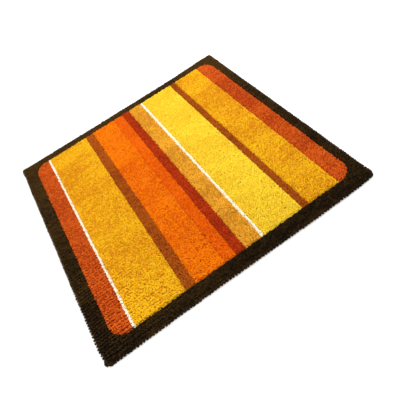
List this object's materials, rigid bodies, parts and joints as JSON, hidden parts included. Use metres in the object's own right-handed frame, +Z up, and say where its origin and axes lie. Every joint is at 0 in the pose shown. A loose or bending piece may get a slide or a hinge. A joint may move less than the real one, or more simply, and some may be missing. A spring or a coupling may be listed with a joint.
{
  "type": "wool pile rug",
  "caption": "Square flat wool rug with a thick cut pile, a dark border running to the edge and a warm striped field; rests flat on the floor.",
  "frame": {"origin": "middle of the flat underside, at the bottom centre of the rug's box", "axes": "+Z up out of the pile; +X and +Y along the two sides of the square, in the plane of the floor"},
  "size_m": [1.4048, 1.413, 0.0198],
  "materials": {
    "pile_wool": "thick matt cut wool pile"
  },
  "bodies": {
    "root": {"pile_rug": "pile_wool"}
  },
  "joints": []
}
